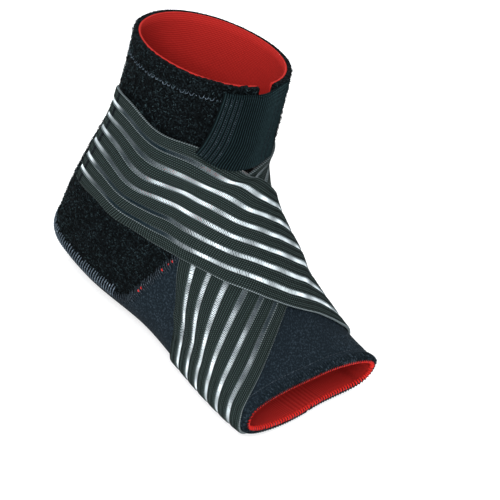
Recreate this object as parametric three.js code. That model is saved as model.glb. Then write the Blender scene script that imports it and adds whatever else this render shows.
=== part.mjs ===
import * as THREE from 'three';

// Ankle brace for a right foot, in millimetres.
// +Z is up, the toes point to -Y and the little-toe side of the foot is -X.
// Every layer is laid on one form: a fan of closed sections from the toe rim, round the heel, to the cuff.

// Driving sizes
const heelToToe = 180; // heel back to the middle of the toe rim
const cuffHeight = 160; // sole to the top rim
const instepHeight = 77; // sole to the ridge of the instep, at the ankle's bend
const ballWidth = 97; // inside, across the ball of the foot
const ankleWidth = 66; // inside, across the ankle
const liningThickness = 1;
const neopreneThickness = 2.2;
const layerGap = 0.3; // between lining and neoprene, and under a pad or a tab
const seamGap = 0.4; // between the edges of two panels that are sewn together
const strapWidth = 60;
const strapThickness = 1.6;
const webThickness = 0.9; // open stripes between the dense bands
const stripeWidth = 2.4;
const bandCount = 7;
const strapClearance = 0.6; // under a strap, wherever it lies
const hookThickness = 1.2;
const strapHookLength = 24;
const strapHookInset = 8; // from the strap's free end to its hook pad
const hookMargin = 3; // from a strap's or tab's edge to its hook pad
const tabThickness = 1.5;
const closureHookLength = 20;
const slopeLength = 8; // over which an upper layer comes down beside what it crosses
const laidReach = 5; // how far from a sample of a lower layer the upper one stays fully raised

const wallThickness = liningThickness + layerGap + neopreneThickness;
const strapStack = strapClearance + strapThickness;

// Sections of the form. Y and widths are shares of the foot's sizes, Z of the heights.
// A section runs from its back (or sole) point to its front (or instep) point.
const sectionColumns = [
  'backY', 'backZ', 'lift', 'frontY', 'frontZ', 'lateral', 'medial', 'lowSquare', 'highSquare', 'leg',
];
const sectionRows = [
  [1.103, 0.0, 1.0, 1.111, 0.322, 0.444, 0.456, 3.4, 2.4, 0],
  [0.962, 0.0, 1.0, 0.956, 0.383, 0.539, 0.462, 3.4, 2.3, 0],
  [0.81, 0.0, 1.0, 0.834, 0.584, 0.535, 0.427, 3.4, 2.3, 0],
  [0.638, 0.0, 1.0, 0.737, 0.81, 0.467, 0.373, 3.4, 2.2, 0],
  [0.467, 0.0, 0.5, 0.662, 0.98, 0.378, 0.344, 3.2, 2.2, 0],
  [0.226, 0.003, 0.0, 0.61, 0.54, 0.521, 0.492, 2.8, 2.2, 1],
  [0.071, 0.051, 0.0, 0.576, 0.608, 0.498, 0.477, 2.4, 2.2, 1],
  [0.055, 0.206, 0.0, 0.548, 0.664, 0.503, 0.489, 2.2, 2.2, 1],
  [0.076, 0.408, 0.0, 0.546, 0.728, 0.515, 0.505, 2.1, 2.1, 1],
  [0.101, 0.602, 0.0, 0.54, 0.813, 0.471, 0.476, 2.1, 2.1, 1],
  [0.095, 0.816, 0.0, 0.526, 0.918, 0.474, 0.474, 2.1, 2.1, 1],
  [0.07, 1.041, 0.0, 0.501, 1.085, 0.548, 0.547, 2.1, 2.1, 1],
];
const rimStation = 10.43; // station of the top rim
const toeStation = 0.72; // station of the toe rim at the middle
const toeSlant = 0.29; // how much further forward the rim lies on the big-toe side

// Ankle panel, little-toe half, from the front edge round to the heel back.
// Angles are in degrees round a section: 90 front, 180 little-toe side, 270 back, 360 big-toe side.
// Below high and above low lies the open notch in front of the ankle bone.
const panelColumns = ['rimAngle', 'highAngle', 'highU', 'lowAngle', 'lowU', 'seamAngle', 'seamU'];
const panelRows = [
  [112, 110, 8.05, 134, 5.4, 134, 5.1],
  [123, 122, 8.02, 134, 5.4, 134, 5.1],
  [134, 135, 8.05, 135, 5.42, 136, 5.05],
  [146, 148, 8.1, 148, 5.95, 146, 4.9],
  [158, 161, 8.02, 161, 6.6, 157, 4.7],
  [170, 173, 7.9, 173, 7.15, 169, 4.6],
  [181, 182, 7.88, 182, 7.05, 180, 4.5],
  [192, 192, 7.88, 192, 7.0, 191, 4.42],
  [203, 203, 7.88, 202, 7.0, 203, 4.4],
  [214, 214, 7.88, 212, 7.0, 214, 4.55],
  [225, 225, 7.88, 222, 7.0, 220, 5.1],
  [236, 236, 7.88, 233, 7.0, 227, 5.65],
  [248, 248, 7.88, 246, 7.0, 240, 6.05],
  [259, 259, 7.88, 258, 7.0, 254, 6.25],
  [270, 270, 7.88, 270, 7.0, 270, 6.3],
];
const panelHalf = panelRows.length - 1;
const mirrorAngle = 540; // a mirrored angle is this less the angle
const flapRows = [
  [440, 442, 8.02, 406, 5.4, 406, 5.1],
  [456, 458, 8.05, 406, 5.4, 406, 5.1],
]; // edge of the big-toe flap, which reaches further round than the other
const lowerStart = 2; // first column of the band below the notch
const middleStart = 5; // first column of the band behind the notch
const bandRows = [5, 2, 4]; // grid rows below, beside and above the notch

// Upper edge of the foot sleeve over the instep, between the two ends of the heel seam: angle, station
const instepEdge = [
  [124, 4.7],
  [112, 4.38],
  [101, 4.15],
  [90, 4.05],
];
const sleeveRows = 8;

// Figure-eight strap, from its free end on the little-toe side of the ankle, over the instep,
// under the sole, and back over the instep, underneath, to its sewn end on the big-toe side.
// Columns: topU, topAngle, bottomU, bottomAngle, and the width there as a share of the strap's.
const strapRows = [
  [9.63, 230, 7.4, 222, 0.97],
  [9.5, 205, 7.2, 205, 0.99],
  [9.3, 189, 6.9, 192, 0.97],
  [9.1, 170, 6.1, 176, 1],
  [8.85, 147, 5.35, 165, 1.05],
  [8.45, 131, 4.85, 159, 1],
  [7.85, 116, 4.3, 155, 0.98],
  [7, 103, 3.8, 148, 0.95],
  [6.1, 94, 3.3, 135, 0.94],
  [5.45, 84, 2.8, 118, 0.95],
  [4.85, 71, 2.37, 101, 0.96],
  [4.5, 56, 2.02, 87, 0.96],
  [4.25, 39, 1.8, 71, 0.95],
  [3.95, 22, 1.6, 54, 0.95],
  [3.55, 3, 1.42, 33, 0.93],
  [3.3, -8, 1.2, 8, 0.9],
  [3.1, -22, 1.12, -15, 0.92],
  [3, -50, 1.1, -48, 0.93],
  [3, -90, 1.1, -90, 0.93],
  [3, -130, 1.1, -132, 0.93],
  [3.1, -158, 1.12, -165, 0.92],
  [3.3, -172, 1.2, -188, 0.9],
  [3.7, -182, 1.5, -222, 0.93],
  [4.4, -199, 1.95, -258, 0.97],
  [4.9, -215, 2.65, -286, 1],
  [5.6, -229, 3.4, -309, 1.02],
  [6.4, -241, 4.1, -328, 1],
  [7.1, -253, 4.6, -341, 1],
  [7.75, -267, 5.2, -351, 1],
  [8.05, -290, 5.7, -357, 1],
  [8.5, -320, 6.2, -364, 1],
  [8.85, -347, 6.6, -371, 0.98],
  [9, -368, 6.8, -378, 0.97],
  [9.2, -387, 7, -388, 0.96],
  [9.3, -410, 7.3, -402, 0.95],
];
const soleRow = 18; // strap row under the middle of the sole
const strapStep = 7; // longest step between two strap sections
const strapTurn = 12; // most that the strap turns between two sections, in degrees
const strapUnderside = 11; // points across the underside
const halfSteps = 6; // steps from the strap's middle line to an edge
const strapSamples = 11; // points across the strap that stand for it under an upper layer
const crossingRow = 21; // strap row where the lower run leaves the sole's edge
const upperRow = 12; // strap row where the upper run leaves the instep
const hookRows = 5;
const hookColumns = 9;

// Closure tab, from its sewn edge on the big-toe flap to its free edge on the little-toe side.
// Columns: topAngle, topU, bottomAngle, bottomU.
const tabRows = [
  [80, 10.44, 88, 8.15],
  [88, 10.43, 96, 8.1],
  [97, 10.4, 104, 8.05],
  [106, 10.37, 112, 8.0],
  [115, 10.36, 121, 8.0],
  [123, 10.36, 130, 8.15],
  [131, 10.36, 139, 8.35],
  [139, 10.36, 147, 8.6],
];
const tabGridRows = 9;
const closureHookFoot = 0.3; // share of the tab's height where its hook pad starts

const degrees = Math.PI / 180;
const probe = 0.01; // small step along the form, for slopes

function mix(a, b, t) {
  return a + (b - a) * t;
}

function asObjects(columns, rows) {
  return rows.map((row) => Object.fromEntries(columns.map((name, k) => [name, row[k]])));
}

// Smooth interpolation of a table's rows at station t
function splineRow(rows, t) {
  const last = rows.length - 1;
  const i = Math.min(Math.max(Math.floor(t), 0), last - 1);
  const s = t - i;
  const at = (k) => rows[Math.min(Math.max(k, 0), last)];
  const [b, c] = [rows[i], rows[i + 1]];
  const a = i === 0 ? b.map((v, k) => 2 * v - c[k]) : at(i - 1);
  const d = i === last - 1 ? c.map((v, k) => 2 * v - b[k]) : at(i + 2);
  return b.map((v, k) => {
    const slope = 0.5 * (c[k] - a[k]);
    const bend = a[k] - 2.5 * v + 2 * c[k] - 0.5 * d[k];
    const twist = 0.5 * (d[k] - a[k]) + 1.5 * (v - c[k]);
    return v + s * (slope + s * (bend + s * twist));
  });
}

// Real lengths of one section of the form
function realSection(row) {
  const width = mix(ballWidth, ankleWidth, row.leg);
  const floor = wallThickness + row.lift * strapStack;
  return [
    row.backY * heelToToe,
    row.backZ * cuffHeight + floor,
    row.frontY * heelToToe,
    row.frontZ * mix(instepHeight, cuffHeight, row.leg),
    row.lateral * width,
    row.medial * width,
    row.lowSquare,
    row.highSquare,
  ];
}

const sections = asObjects(sectionColumns, sectionRows).map(realSection);

function rounded(value, square) {
  return Math.sign(value) * Math.abs(value) ** (2 / square);
}

// Point of the form where it meets the foot, at a station and an angle
function skin(u, angle) {
  const [backY, backZ, frontY, frontZ, lateral, medial, low, high] = splineRow(sections, u);
  const [c, s] = [Math.cos(angle * degrees), Math.sin(angle * degrees)];
  const square = s < 0 ? low : high;
  const across = rounded(c, square) * (c > 0 ? medial : lateral);
  const along = rounded(s, square);
  return new THREE.Vector3(
    across,
    -mix(backY, frontY, (1 + along) / 2),
    mix(backZ, frontZ, (1 + along) / 2),
  );
}

function slopes(u, angle) {
  const alongU = skin(u + probe, angle).sub(skin(u - probe, angle)).divideScalar(2 * probe);
  const alongAngle = skin(u, angle + 1).sub(skin(u, angle - 1)).divideScalar(2);
  return { alongU, alongAngle };
}

function outward(u, angle) {
  const { alongU, alongAngle } = slopes(u, angle);
  return alongU.cross(alongAngle).normalize();
}

// Point at a height above the form
function raised(u, angle, height) {
  return skin(u, angle).addScaledVector(outward(u, angle), height);
}

// Closed body from two lists of points of the same layout, with walls along every open edge
function shellGeometry(outer, inner, rows, columns, wraps, keeps) {
  const count = rows * columns;
  const indices = [];
  const edges = new Map();
  const corner = (i, j) => i * columns + (j % columns);
  const cells = wraps ? columns : columns - 1;
  for (let i = 0; i < rows - 1; i += 1) {
    for (let j = 0; j < cells; j += 1) {
      if (!keeps(i, j)) continue;
      const quad = [corner(i, j), corner(i, j + 1), corner(i + 1, j + 1), corner(i + 1, j)];
      indices.push(quad[0], quad[1], quad[2], quad[0], quad[2], quad[3]);
      indices.push(...[quad[0], quad[2], quad[1], quad[0], quad[3], quad[2]].map((k) => k + count));
      quad.forEach((a, k) => {
        const b = quad[(k + 1) % 4];
        if (!edges.delete(`${b} ${a}`)) edges.set(`${a} ${b}`, [a, b]);
      });
    }
  }
  edges.forEach(([a, b]) => indices.push(b, a, a + count, b, a + count, b + count));
  return closedGeometry([...outer, ...inner], indices);
}

// Geometry of a closed mesh, turned so that its faces point out, with unused points left out
function closedGeometry(points, indices) {
  let volume = 0;
  for (let k = 0; k < indices.length; k += 3) {
    const [a, b, c] = [points[indices[k]], points[indices[k + 1]], points[indices[k + 2]]];
    volume += a.dot(b.clone().cross(c));
  }
  const order = volume < 0 ? [...indices].reverse() : indices;
  const used = new Map();
  const packed = order.map((k) => {
    if (!used.has(k)) used.set(k, used.size);
    return used.get(k);
  });
  const positions = [...used.keys()].flatMap((k) => points[k].toArray());
  const geometry = new THREE.BufferGeometry();
  geometry.setAttribute('position', new THREE.Float32BufferAttribute(positions, 3));
  geometry.setIndex(packed);
  geometry.computeVertexNormals();
  return geometry;
}

// Parameter direction of unit real length, square to a curve's direction at a point of the form
function sideways([u, angle], [du, dAngle]) {
  const { alongU, alongAngle } = slopes(u, angle);
  const [uu, ua, aa] = [alongU.dot(alongU), alongU.dot(alongAngle), alongAngle.dot(alongAngle)];
  const side = [ua * du + aa * dAngle, -(uu * du + ua * dAngle)];
  const length = alongU.multiplyScalar(side[0]).addScaledVector(alongAngle, side[1]).length();
  return side.map((v) => v / length);
}

// A curve on the form, moved sideways by a real length
function shifted(curve, distance, closed = false) {
  return curve.map((point, k) => {
    const turn = closed ? curve.length : 0;
    const before = curve[closed ? (k - 1 + turn) % turn : Math.max(k - 1, 0)];
    const after = curve[closed ? (k + 1) % turn : Math.min(k + 1, curve.length - 1)];
    const wrap = (v) => v - 360 * Math.round(v / 360);
    const along = [after[0] - before[0], wrap(after[1] - before[1])];
    const side = sideways(point, along);
    return [point[0] + side[0] * distance, point[1] + side[1] * distance];
  });
}

// Layers that already lie on the form: points on the form with the height of what lies there
const laid = [];

// Height at which the next layer lies over what is already there
function restingHeight(u, angle, base, clearance) {
  const at = skin(u, angle);
  let height = base + clearance;
  laid.forEach((sample) => {
    const apart = sample.at.distanceTo(at) - laidReach;
    const raise = 1 - THREE.MathUtils.smoothstep(apart, 0, slopeLength);
    height = Math.max(height, mix(base, sample.height, raise) + clearance);
  });
  return height;
}

// Ankle panel

function mirroredColumn([rimAngle, highAngle, highU, lowAngle, lowU, seamAngle, seamU]) {
  return [
    mirrorAngle - rimAngle, mirrorAngle - highAngle, highU,
    mirrorAngle - lowAngle, lowU, mirrorAngle - seamAngle, seamU,
  ];
}

const panelTable = [
  ...panelRows,
  ...panelRows.slice(0, panelHalf).reverse().map(mirroredColumn).slice(0, -1),
  ...flapRows,
];
const heelSeam = asObjects(panelColumns, panelTable).map((row) => [row.seamU, row.seamAngle]);
const lowerEnd = 2 * panelHalf - lowerStart;
const middleEnd = 2 * panelHalf - middleStart;

// Station and angle of each grid point of the panel, row by row from the heel seam to the rim
function panelGrid() {
  const sewn = shifted(heelSeam.slice(lowerStart, lowerEnd + 1), seamGap / 2);
  const seam = heelSeam.map((point, j) => sewn[j - lowerStart] ?? point);
  const columns = asObjects(panelColumns, panelTable).map((row, j) => [
    seam[j],
    [row.lowU, row.lowAngle],
    [row.highU, row.highAngle],
    [rimStation, row.rimAngle],
  ]);
  const grid = [];
  bandRows.forEach((steps, band) => {
    const first = band === 0 ? 0 : 1;
    for (let k = first; k <= steps; k += 1) {
      grid.push(columns.map((levels) => {
        const [from, to] = [levels[band], levels[band + 1]];
        return [mix(from[0], to[0], k / steps), mix(from[1], to[1], k / steps)];
      }));
    }
  });
  return grid;
}

function panelKeeps(i, j) {
  if (i < bandRows[0]) return j >= lowerStart && j < lowerEnd;
  if (i < bandRows[0] + bandRows[1]) return j >= middleStart && j < middleEnd;
  return true;
}

function patchGeometry(grid, from, to, wraps, keeps) {
  const at = (height) => grid.flat().map(([u, angle]) => raised(u, angle, height));
  return shellGeometry(at(to), at(from), grid.length, grid[0].length, wraps, keeps);
}

// Foot sleeve

// Columns of the sleeve run round the whole foot: the heel seam, then the edge over the instep
function sleeveGrid() {
  const seam = heelSeam.slice(lowerStart, lowerEnd + 1);
  const instep = instepEdge.map(([angle, u]) => [u, angle + 360]);
  const other = instepEdge.slice(0, -1).map(([angle, u]) => [u, mirrorAngle - angle]);
  const rear = shifted([...seam, ...other, ...instep.reverse()], -seamGap / 2, true);
  const front = rear.map(([, angle]) => [toeStation - toeSlant * Math.cos(angle * degrees), angle]);
  return Array.from({ length: sleeveRows + 1 }, (_, i) => rear.map((end, j) => [
    mix(front[j][0], end[0], i / sleeveRows),
    mix(front[j][1], end[1], i / sleeveRows),
  ]));
}

// Strap and pads

// Point across a strap section: 0 at its top edge, 1 at its bottom edge, at its real width
function acrossStrap([topU, topAngle, bottomU, bottomAngle, stretch], share) {
  const middle = [(topU + bottomU) / 2, (topAngle + bottomAngle) / 2];
  const way = [bottomU - topU, bottomAngle - topAngle];
  const side = Math.sign(share - 0.5);
  const step = (Math.abs(share - 0.5) * strapWidth * stretch) / halfSteps;
  let [u, angle] = middle;
  for (let k = 0; k < halfSteps; k += 1) {
    const { alongU, alongAngle } = slopes(u, angle);
    const speed = alongU.multiplyScalar(way[0]).addScaledVector(alongAngle, way[1]).length();
    u += (side * step * way[0]) / speed;
    angle += (side * step * way[1]) / speed;
  }
  return [u, angle];
}

// Places along the strap, close together where it turns sharply
function strapPlaces() {
  const places = [0];
  for (let k = 0; k < strapRows.length - 1; k += 1) {
    const ends = [strapRows[k], strapRows[k + 1]].map((row) => acrossStrap(row, 0.5));
    const length = skin(...ends[0]).distanceTo(skin(...ends[1]));
    const turn = outward(...ends[0]).angleTo(outward(...ends[1])) / degrees;
    const steps = Math.ceil(Math.max(length / strapStep, turn / strapTurn));
    for (let i = 1; i <= steps; i += 1) places.push(k + i / steps);
  }
  return places;
}

// Outline across the strap: shares of the width with the height above the underside
function strapOutline() {
  const bandWidth = (strapWidth - (bandCount - 1) * stripeWidth) / bandCount;
  const outline = [];
  for (let k = 0; k < bandCount; k += 1) {
    const start = (k * (bandWidth + stripeWidth)) / strapWidth;
    const end = start + bandWidth / strapWidth;
    outline.push([start, strapThickness], [end, strapThickness]);
    if (k < bandCount - 1) outline.push([end + stripeWidth / 2 / strapWidth, webThickness]);
  }
  const under = Array.from({ length: strapUnderside }, (_, k) => [1 - k / (strapUnderside - 1), 0]);
  return [...outline, ...under];
}

function strapSection(place, outline) {
  const row = splineRow(strapRows, place);
  return outline.map(([share, height]) => {
    const [u, angle] = acrossStrap(row, share);
    const base = restingHeight(u, angle, wallThickness, strapClearance);
    return raised(u, angle, base + height);
  });
}

// Lays a patch's grid points, or a run of the strap, down as a layer for what comes over it
function layPoints(points, thickness) {
  const samples = points.map(([u, angle]) => ({
    at: skin(u, angle),
    height: restingHeight(u, angle, wallThickness, strapClearance) + thickness,
  }));
  laid.push(...samples);
}

function strapRun(places) {
  const shares = Array.from({ length: strapSamples }, (_, k) => k / (strapSamples - 1));
  return places.flatMap((place) => {
    const row = splineRow(strapRows, place);
    return shares.map((share) => acrossStrap(row, share));
  });
}

// Closed body through a list of section loops, each with the outline's points
function loftGeometry(loops, outline) {
  const size = outline.length;
  const indices = [];
  for (let i = 0; i < loops.length - 1; i += 1) {
    for (let k = 0; k < size; k += 1) {
      const next = (k + 1) % size;
      const [a, b, c, d] = [i * size + k, i * size + next, (i + 1) * size + next, (i + 1) * size + k];
      indices.push(a, b, c, a, c, d);
    }
  }
  const flat = outline.map(([share, height]) => new THREE.Vector2(share * strapWidth, height));
  const clockwise = THREE.ShapeUtils.isClockWise(flat);
  const end = (loops.length - 1) * size;
  THREE.ShapeUtils.triangulateShape(flat, []).forEach((face) => {
    const start = clockwise ? face : [...face].reverse();
    indices.push(...start, ...[...start].reverse().map((v) => v + end));
  });
  return closedGeometry(loops.flat(), indices);
}

// The lower run is made first, so that the upper run can lie over it at the crossing
function strapGeometry() {
  const outline = strapOutline();
  const places = strapPlaces();
  const under = places.filter((place) => place > soleRow).map((place) => strapSection(place, outline));
  layPoints(strapRun(places.filter((place) => place > crossingRow)), strapThickness);
  const over = places.filter((place) => place <= soleRow).map((place) => strapSection(place, outline));
  layPoints(strapRun(places.filter((place) => place < upperRow)), strapThickness);
  return loftGeometry([...over, ...under], outline);
}

// Hook pad under the strap's free end
function strapHookGrid() {
  const ends = [strapRows[0], strapRows[1]].map((row) => acrossStrap(row, 0.5));
  const firstSpan = skin(...ends[0]).distanceTo(skin(...ends[1]));
  const from = strapHookInset / firstSpan;
  const to = (strapHookInset + strapHookLength) / firstSpan;
  const margin = hookMargin / strapWidth;
  return Array.from({ length: hookRows + 1 }, (_, i) => {
    const row = splineRow(strapRows, mix(from, to, i / hookRows));
    return Array.from({ length: hookColumns + 1 }, (__, j) => (
      acrossStrap(row, mix(margin, 1 - margin, j / hookColumns))
    ));
  });
}

// Closure tab

function tabPoint(place, share) {
  const [topAngle, topU, bottomAngle, bottomU] = splineRow(tabRows, place);
  return [mix(bottomU, topU, share), mix(bottomAngle, topAngle, share)];
}

function tabGrid() {
  return Array.from({ length: tabGridRows + 1 }, (_, i) => (
    tabRows.map((row, j) => tabPoint(j, i / tabGridRows))
  ));
}

// Hook pad under the tab's free end, where it is clear of the strap
function closureHookGrid() {
  const last = tabRows.length - 1;
  const span = skin(...tabPoint(last, 0.5)).distanceTo(skin(...tabPoint(last - 1, 0.5)));
  const from = last - (hookMargin + closureHookLength) / span;
  const to = last - hookMargin / span;
  const height = skin(...tabPoint(last, 0)).distanceTo(skin(...tabPoint(last, 1)));
  const margin = hookMargin / height;
  return Array.from({ length: hookRows + 1 }, (_, i) => (
    Array.from({ length: hookColumns + 1 }, (__, j) => (
      tabPoint(mix(from, to, j / hookColumns), mix(closureHookFoot, 1 - margin, i / hookRows))
    ))
  ));
}

// Patch that lies on what is already laid, with a thickness of its own
function lyingGeometry(grid, thickness, clearance) {
  const base = grid.flat().map(([u, angle]) => restingHeight(u, angle, wallThickness, clearance));
  const at = (extra) => grid.flat().map(([u, angle], k) => raised(u, angle, base[k] + extra));
  return shellGeometry(at(thickness), at(0), grid.length, grid[0].length, false, () => true);
}

const group = new THREE.Group();

function add(name, geometry, color, roughness) {
  const material = new THREE.MeshStandardMaterial({ color, roughness, metalness: 0 });
  const mesh = new THREE.Mesh(geometry, material);
  mesh.name = name;
  group.add(mesh);
}

const outerFrom = liningThickness + layerGap;
const panel = panelGrid();
const sleeve = sleeveGrid();
const whole = () => true;
add('ankle_panel', patchGeometry(panel, outerFrom, wallThickness, false, panelKeeps), '#15181b', 0.95);
add('ankle_lining', patchGeometry(panel, 0, liningThickness, false, panelKeeps), '#c8231d', 0.9);
add('foot_sleeve', patchGeometry(sleeve, outerFrom, wallThickness, true, whole), '#1b2028', 0.75);
add('foot_lining', patchGeometry(sleeve, 0, liningThickness, true, whole), '#c8231d', 0.9);

const strapHook = strapHookGrid();
add('strap_hook_pad', lyingGeometry(strapHook, hookThickness, strapClearance), '#111315', 0.9);
layPoints(strapHook.flat(), hookThickness);
add('figure_eight_strap', strapGeometry(), '#2b332f', 0.8);

const closureHook = closureHookGrid();
add('closure_hook_pad', lyingGeometry(closureHook, hookThickness, strapClearance), '#111315', 0.9);
layPoints(closureHook.flat(), hookThickness);
add('closure_tab', lyingGeometry(tabGrid(), tabThickness, layerGap), '#27302f', 0.8);

// The part's origin is the middle of its underside
const bounds = new THREE.Box3().setFromObject(group);
const middle = bounds.getCenter(new THREE.Vector3());
group.children.forEach((mesh) => mesh.geometry.translate(-middle.x, -middle.y, -bounds.min.z));

export default group;
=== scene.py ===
# %% [markdown]
# An ankle brace is sewn from a few flat cloths and is worn stretched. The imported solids
# say where each cloth lies. This lesson dresses them: plush, smooth neoprene, a red lining, and
# one long elastic strap whose woven bands are joined by bare crosswise filament.

# %% Load the frame
import math
import bmesh
import bpy
import numpy as np
from mathutils import Matrix, Vector


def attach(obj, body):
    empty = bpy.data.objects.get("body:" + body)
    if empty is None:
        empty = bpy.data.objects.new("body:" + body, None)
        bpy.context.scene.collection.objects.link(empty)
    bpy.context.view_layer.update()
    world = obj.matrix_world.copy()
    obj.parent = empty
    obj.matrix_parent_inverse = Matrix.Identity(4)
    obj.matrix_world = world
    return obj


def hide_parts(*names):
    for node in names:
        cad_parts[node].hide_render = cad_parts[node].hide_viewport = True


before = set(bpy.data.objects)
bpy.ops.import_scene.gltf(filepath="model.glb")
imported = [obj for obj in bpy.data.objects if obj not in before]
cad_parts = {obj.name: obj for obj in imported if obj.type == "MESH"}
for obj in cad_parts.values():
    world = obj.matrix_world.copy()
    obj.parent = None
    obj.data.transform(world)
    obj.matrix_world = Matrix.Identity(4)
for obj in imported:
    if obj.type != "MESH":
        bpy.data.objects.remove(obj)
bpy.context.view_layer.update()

ROOT = "root"

# %% [markdown]
# Every cloth follows one form, a fan of closed sections from the toe rim, round the heel, to the
# cuff. A place on it is a station and an angle, so the same few tables that shape the solids can
# lay a weave, a seam or a stitch exactly on them. Lengths here are in millimetres.

# %% Sizes of the form
MM = 0.001
HEEL_TO_TOE, CUFF_HEIGHT, INSTEP_HEIGHT = 180, 160, 77
BALL_WIDTH, ANKLE_WIDTH = 97, 66
LINING, NEOPRENE, LAYER_GAP = 1.0, 2.2, 0.3
STRAP_WIDTH, STRAP_THICK, STRAP_CLEAR = 60, 1.6, 0.6
STRIPE_WIDTH, BAND_COUNT = 2.1, 7
HOOK_THICK, TAB_THICK = 1.2, 1.5
SLOPE_LENGTH, LAID_REACH = 14, 4
WALL = LINING + LAYER_GAP + NEOPRENE
ORIGIN = np.array([-4.2998, -96.8591, 0.0])  # middle of the underside, from the heel back
RIM_STATION, TOE_STATION, TOE_SLANT = 10.43, 0.72, 0.29

# Sections: backY, backZ, lift, frontY, frontZ, lateral, medial, lowSquare, highSquare, leg
SECTIONS = np.array([
    [1.103, 0.0, 1.0, 1.111, 0.322, 0.444, 0.456, 3.4, 2.4, 0],
    [0.962, 0.0, 1.0, 0.956, 0.383, 0.539, 0.462, 3.4, 2.3, 0],
    [0.81, 0.0, 1.0, 0.834, 0.584, 0.535, 0.427, 3.4, 2.3, 0],
    [0.638, 0.0, 1.0, 0.737, 0.81, 0.467, 0.373, 3.4, 2.2, 0],
    [0.467, 0.0, 0.5, 0.662, 0.98, 0.378, 0.344, 3.2, 2.2, 0],
    [0.226, 0.003, 0.0, 0.61, 0.54, 0.521, 0.492, 2.8, 2.2, 1],
    [0.071, 0.051, 0.0, 0.576, 0.608, 0.498, 0.477, 2.4, 2.2, 1],
    [0.055, 0.206, 0.0, 0.548, 0.664, 0.503, 0.489, 2.2, 2.2, 1],
    [0.076, 0.408, 0.0, 0.546, 0.728, 0.515, 0.505, 2.1, 2.1, 1],
    [0.101, 0.602, 0.0, 0.54, 0.813, 0.471, 0.476, 2.1, 2.1, 1],
    [0.095, 0.816, 0.0, 0.526, 0.918, 0.474, 0.474, 2.1, 2.1, 1],
    [0.07, 1.041, 0.0, 0.501, 1.085, 0.548, 0.547, 2.1, 2.1, 1],
])


def real_sections():
    """The sections as lengths in millimetres."""
    back_y, back_z, lift, front_y, front_z, lateral, medial, low, high, leg = SECTIONS.T
    width = BALL_WIDTH + (ANKLE_WIDTH - BALL_WIDTH) * leg
    rise = INSTEP_HEIGHT + (CUFF_HEIGHT - INSTEP_HEIGHT) * leg
    floor = WALL + lift * (STRAP_CLEAR + STRAP_THICK)
    return np.stack([
        back_y * HEEL_TO_TOE, back_z * CUFF_HEIGHT + floor, front_y * HEEL_TO_TOE,
        front_z * rise, lateral * width, medial * width, low, high,
    ], 1)


def spline(rows, t):
    """Rows of a table at fractional places t, on a smooth curve through them."""
    rows, t = np.asarray(rows, float), np.atleast_1d(np.asarray(t, float))
    last = len(rows) - 1
    i = np.clip(np.floor(t).astype(int), 0, last - 1)
    s = (t - i)[:, None]
    b, c = rows[i], rows[i + 1]
    a = np.where((i == 0)[:, None], 2 * b - c, rows[np.maximum(i - 1, 0)])
    d = np.where((i == last - 1)[:, None], 2 * c - b, rows[np.minimum(i + 2, last)])
    bend = a - 2.5 * b + 2 * c - 0.5 * d
    twist = 0.5 * (d - a) + 1.5 * (b - c)
    return b + s * (0.5 * (c - a) + s * (bend + s * twist))


FORM = real_sections()
print("form:", len(FORM), "sections, wall", WALL, "mm")


# %% Points and directions on the form
def skin(u, angle):
    """Points of the form in millimetres, at stations u and angles in degrees."""
    back_y, back_z, front_y, front_z, lateral, medial, low, high = spline(FORM, u).T
    c, s = np.cos(np.radians(angle)), np.sin(np.radians(angle))
    square = np.where(s < 0, low, high)
    across = np.sign(c) * np.abs(c) ** (2 / square) * np.where(c > 0, medial, lateral)
    along = (1 + np.sign(s) * np.abs(s) ** (2 / square)) / 2
    y = back_y + (front_y - back_y) * along
    z = back_z + (front_z - back_z) * along
    return np.stack([across, -y, z], 1) - ORIGIN


def slopes(u, angle, step=0.01):
    along_u = (skin(u + step, angle) - skin(u - step, angle)) / (2 * step)
    along_angle = (skin(u, angle + 1) - skin(u, angle - 1)) / 2
    return along_u, along_angle


def unit(v):
    return v / np.maximum(np.linalg.norm(v, axis=-1, keepdims=True), 1e-9)


def outward(u, angle):
    return unit(np.cross(*slopes(u, angle)))


def raised(u, angle, height):
    """Points at a height above the form, in millimetres."""
    u, angle = np.atleast_1d(u).astype(float), np.atleast_1d(angle).astype(float)
    return skin(u, angle) + outward(u, angle) * np.reshape(height, (-1, 1))


def run_along(points):
    """Distance along a line of points, from 0 at its first."""
    return np.concatenate([[0], np.cumsum(np.linalg.norm(np.diff(points, axis=0), axis=1))])


def pairs(first, second):
    """Every value of the first list with every value of the second, as two flat arrays."""
    return [grid.ravel() for grid in np.meshgrid(first, second, indexing="ij")]


def mix(a, b, t):
    return a + (b - a) * t


def smooth(t):
    t = np.clip(t, 0, 1)
    return t * t * (3 - 2 * t)


print("heel back:", skin(np.array([6.3]), np.array([270.0]))[0].round(1))

# %% [markdown]
# The camera stands where the photograph was taken: on the outer side of the brace, well above
# it, and rolled so that the cuff leans right. A long lens keeps the lines nearly parallel.

# %% Camera
TARGET = Vector((4.3, 4.86, 73.6)) * MM
CAMERA_SIDE, CAMERA_RISE, CAMERA_ROLL = map(math.radians, (24.25, 32.34, -21.65))
CAMERA_DISTANCE, CAMERA_LENS = 1.1015, 152.3
level = Vector((math.sin(CAMERA_SIDE), -math.cos(CAMERA_SIDE), 0))
back = Vector((
    -math.cos(CAMERA_SIDE) * math.cos(CAMERA_RISE),
    -math.sin(CAMERA_SIDE) * math.cos(CAMERA_RISE),
    math.sin(CAMERA_RISE),
))
over = back.cross(level)
right = level * math.cos(CAMERA_ROLL) - over * math.sin(CAMERA_ROLL)
top = level * math.sin(CAMERA_ROLL) + over * math.cos(CAMERA_ROLL)
camera_data = bpy.data.cameras.new("camera")
camera_data.lens, camera_data.sensor_width = CAMERA_LENS, 36
camera_data.shift_x, camera_data.shift_y = 0.058, -0.0754
camera_data.clip_start, camera_data.clip_end = 0.05, 20
camera = bpy.data.objects.new("camera", camera_data)
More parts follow.
